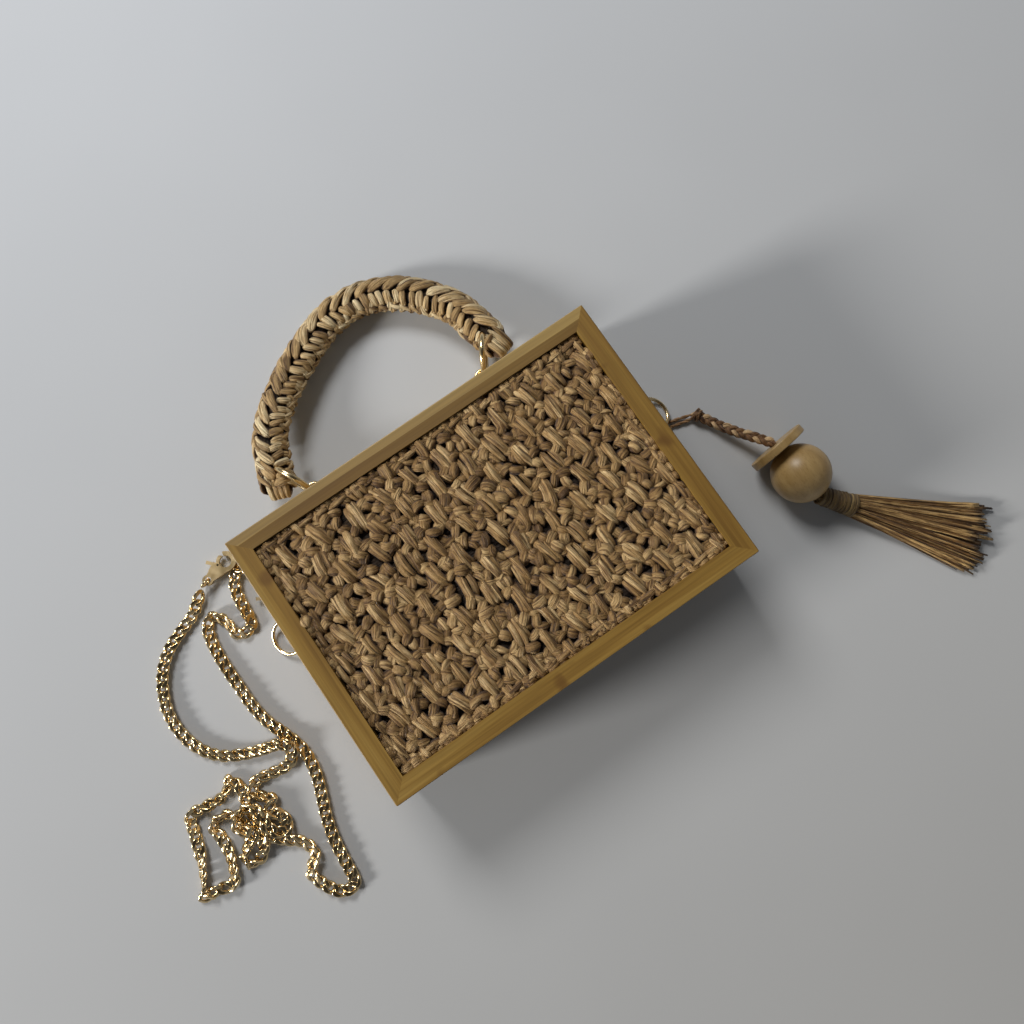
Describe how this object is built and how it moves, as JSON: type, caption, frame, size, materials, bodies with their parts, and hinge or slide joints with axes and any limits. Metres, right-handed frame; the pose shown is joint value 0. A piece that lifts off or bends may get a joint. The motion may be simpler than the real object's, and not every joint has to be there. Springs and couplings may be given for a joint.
{
  "type": "basket box bag",
  "caption": "Bamboo-framed clamshell box bag with crocheted raffia panels and handle, ring-hung wooden bead charm with tassel, and a loose chain strap.",
  "frame": {"origin": "centre of the back face, on the surface that the bag lies on", "axes": "+X along the top rail to the charm, +Y towards the handle, +Z out of the front face"},
  "size_m": [0.4473, 0.3129, 0.06],
  "materials": {
    "bamboo": "satin lacquered bamboo, warm ochre brown",
    "beech": "semi-matte pale wood",
    "gold": "polished pale gold plating",
    "lining": "matte dark maroon cloth on board",
    "raffia": "matte natural raffia, crocheted",
    "steel": "plain nickel plated steel",
    "twine": "twisted raffia twine, brown"
  },
  "bodies": {
    "back_shell": {"back_bottom_rail": "bamboo", "back_hinge_screws": "steel", "back_left_magnet": "steel", "back_left_rail": "bamboo", "back_lining_board": "lining", "back_raffia_panel": "raffia", "back_right_magnet": "steel", "back_right_rail": "bamboo", "back_top_rail": "bamboo", "chain_far_run": "gold", "chain_heap": "gold", "chain_near_run": "gold", "charm_ball": "beech", "charm_cord": "twine", "charm_disc": "beech", "charm_loop": "twine", "far_clasp_body": "gold", "far_clasp_jump_ring": "gold", "far_clasp_pin": "gold", "handle_eye_left": "gold", "handle_eye_right": "gold", "left_hinge_back_leaf": "gold", "left_hinge_pin": "gold", "near_clasp_body": "gold", "near_clasp_jump_ring": "gold", "near_clasp_pin": "gold", "right_hinge_back_leaf": "gold", "right_hinge_pin": "gold", "strap_eye_left": "gold", "strap_eye_right": "gold", "tassel_neck": "twine", "tassel_skirt": "twine"},
    "front_shell": {"front_bottom_rail": "bamboo", "front_hinge_screws": "steel", "front_left_magnet": "steel", "front_left_rail": "bamboo", "front_lining_board": "lining", "front_raffia_panel": "raffia", "front_right_magnet": "steel", "front_right_rail": "bamboo", "front_top_rail": "bamboo", "left_hinge_front_leaf": "gold", "right_hinge_front_leaf": "gold"},
    "handle": {"carrying_handle": "raffia", "handle_ring_left": "gold", "handle_ring_right": "gold"},
    "left_ring": {"strap_ring_left": "gold"},
    "right_ring": {"strap_ring_right": "gold"},
    "near_clasp_gate": {"near_clasp_gate": "gold"},
    "far_clasp_gate": {"far_clasp_gate": "gold"}
  },
  "joints": [
    {"name": "front_opening", "type": "hinge", "parent": "back_shell", "child": "front_shell", "pos_m": [0, -0.0716, 0.03], "axis": [1, 0, 0], "range_deg": [0, 180]},
    {"name": "handle_swing", "type": "hinge", "parent": "back_shell", "child": "handle", "pos_m": [0, 0.08216, 0.015], "axis": [1, 0, 0], "range_deg": [-48, 60]},
    {"name": "left_ring_swing", "type": "hinge", "parent": "back_shell", "child": "left_ring", "pos_m": [-0.1046, 0.0195, 0.008], "axis": [0, 1, 0], "range_deg": [-60, 115]},
    {"name": "right_ring_swing", "type": "hinge", "parent": "back_shell", "child": "right_ring", "pos_m": [0.1046, 0.0195, 0.008], "axis": [0, -1, 0], "range_deg": [0, 113]},
    {"name": "near_clasp_opening", "type": "hinge", "parent": "back_shell", "child": "near_clasp_gate", "pos_m": [-0.10825, 0.04839, 0.00273], "axis": [-0.0011, -0.0628, 0.998], "range_deg": [0, 28], "stiffness_Nm_per_rad": 0.0005, "springref_deg": -22.92},
    {"name": "far_clasp_opening", "type": "hinge", "parent": "back_shell", "child": "far_clasp_gate", "pos_m": [-0.12061, 0.07733, 0.00273], "axis": [-0.0609, -0.0152, -0.998], "range_deg": [0, 28], "stiffness_Nm_per_rad": 0.0005, "springref_deg": -22.92}
  ]
}
